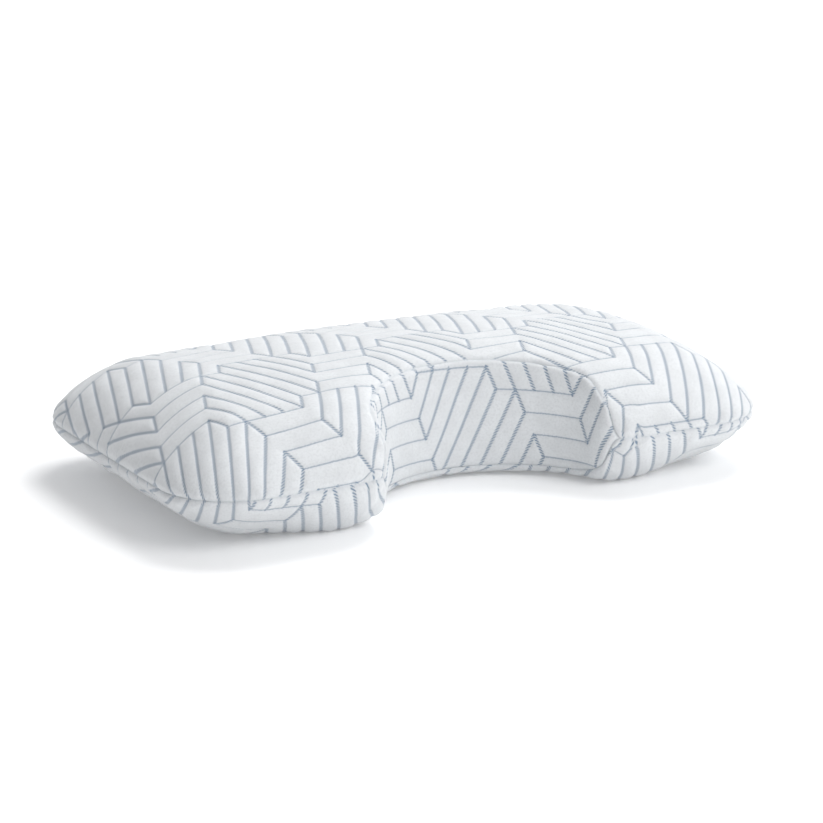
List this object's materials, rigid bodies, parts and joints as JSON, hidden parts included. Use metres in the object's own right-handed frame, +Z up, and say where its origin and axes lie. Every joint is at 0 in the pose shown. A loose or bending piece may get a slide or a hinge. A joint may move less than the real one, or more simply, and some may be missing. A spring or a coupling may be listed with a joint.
{
  "type": "cervical side-sleeper pillow",
  "caption": "Contoured foam pillow for neck and shoulder, with a rounded shoulder cut-out in its front edge and a quilted knitted cover closed by a back zip.",
  "frame": {"origin": "on the floor, under the centre of the pillow's outline", "axes": "+X along the pillow's width, -Y towards the shoulder cut-out, +Z up"},
  "size_m": [0.6, 0.36, 0.118],
  "materials": {
    "foam": "matt open-cell foam",
    "knit": "soft white knit with blue-grey quilting lines",
    "wadding": "matt polyester fibre",
    "thread": "matt sewing thread",
    "tape": "woven tape",
    "coil": "satin nylon",
    "slider_metal": "satin enamel"
  },
  "bodies": {
    "pillow": {"foam_core": "foam", "top_panel_knit": "knit", "top_panel_wadding": "wadding", "bottom_panel_knit": "knit", "bottom_panel_wadding": "wadding", "gusset_knit": "knit", "gusset_wadding": "wadding", "rim_seam_thread": "thread", "lower_gusset_seam_thread": "thread", "perimeter_seam_thread": "thread", "zip_guard": "tape", "zip_tape_upper": "tape", "zip_tape_lower": "tape", "zip_row_upper": "coil", "zip_row_lower": "coil", "zip_end_stops": "coil"},
    "slider": {"zip_slider": "slider_metal"},
    "pull": {"zip_pull": "slider_metal"}
  },
  "joints": [
    {"name": "zip_slide", "type": "slide", "parent": "pillow", "child": "slider", "axis": [-1, 0, 0], "range_m": [0, 0.364]},
    {"name": "pull_hinge", "type": "hinge", "parent": "slider", "child": "pull", "pos_m": [0.182, 0.1768, 0.05], "axis": [0, 0, -1], "range_deg": [0, 165]}
  ]
}
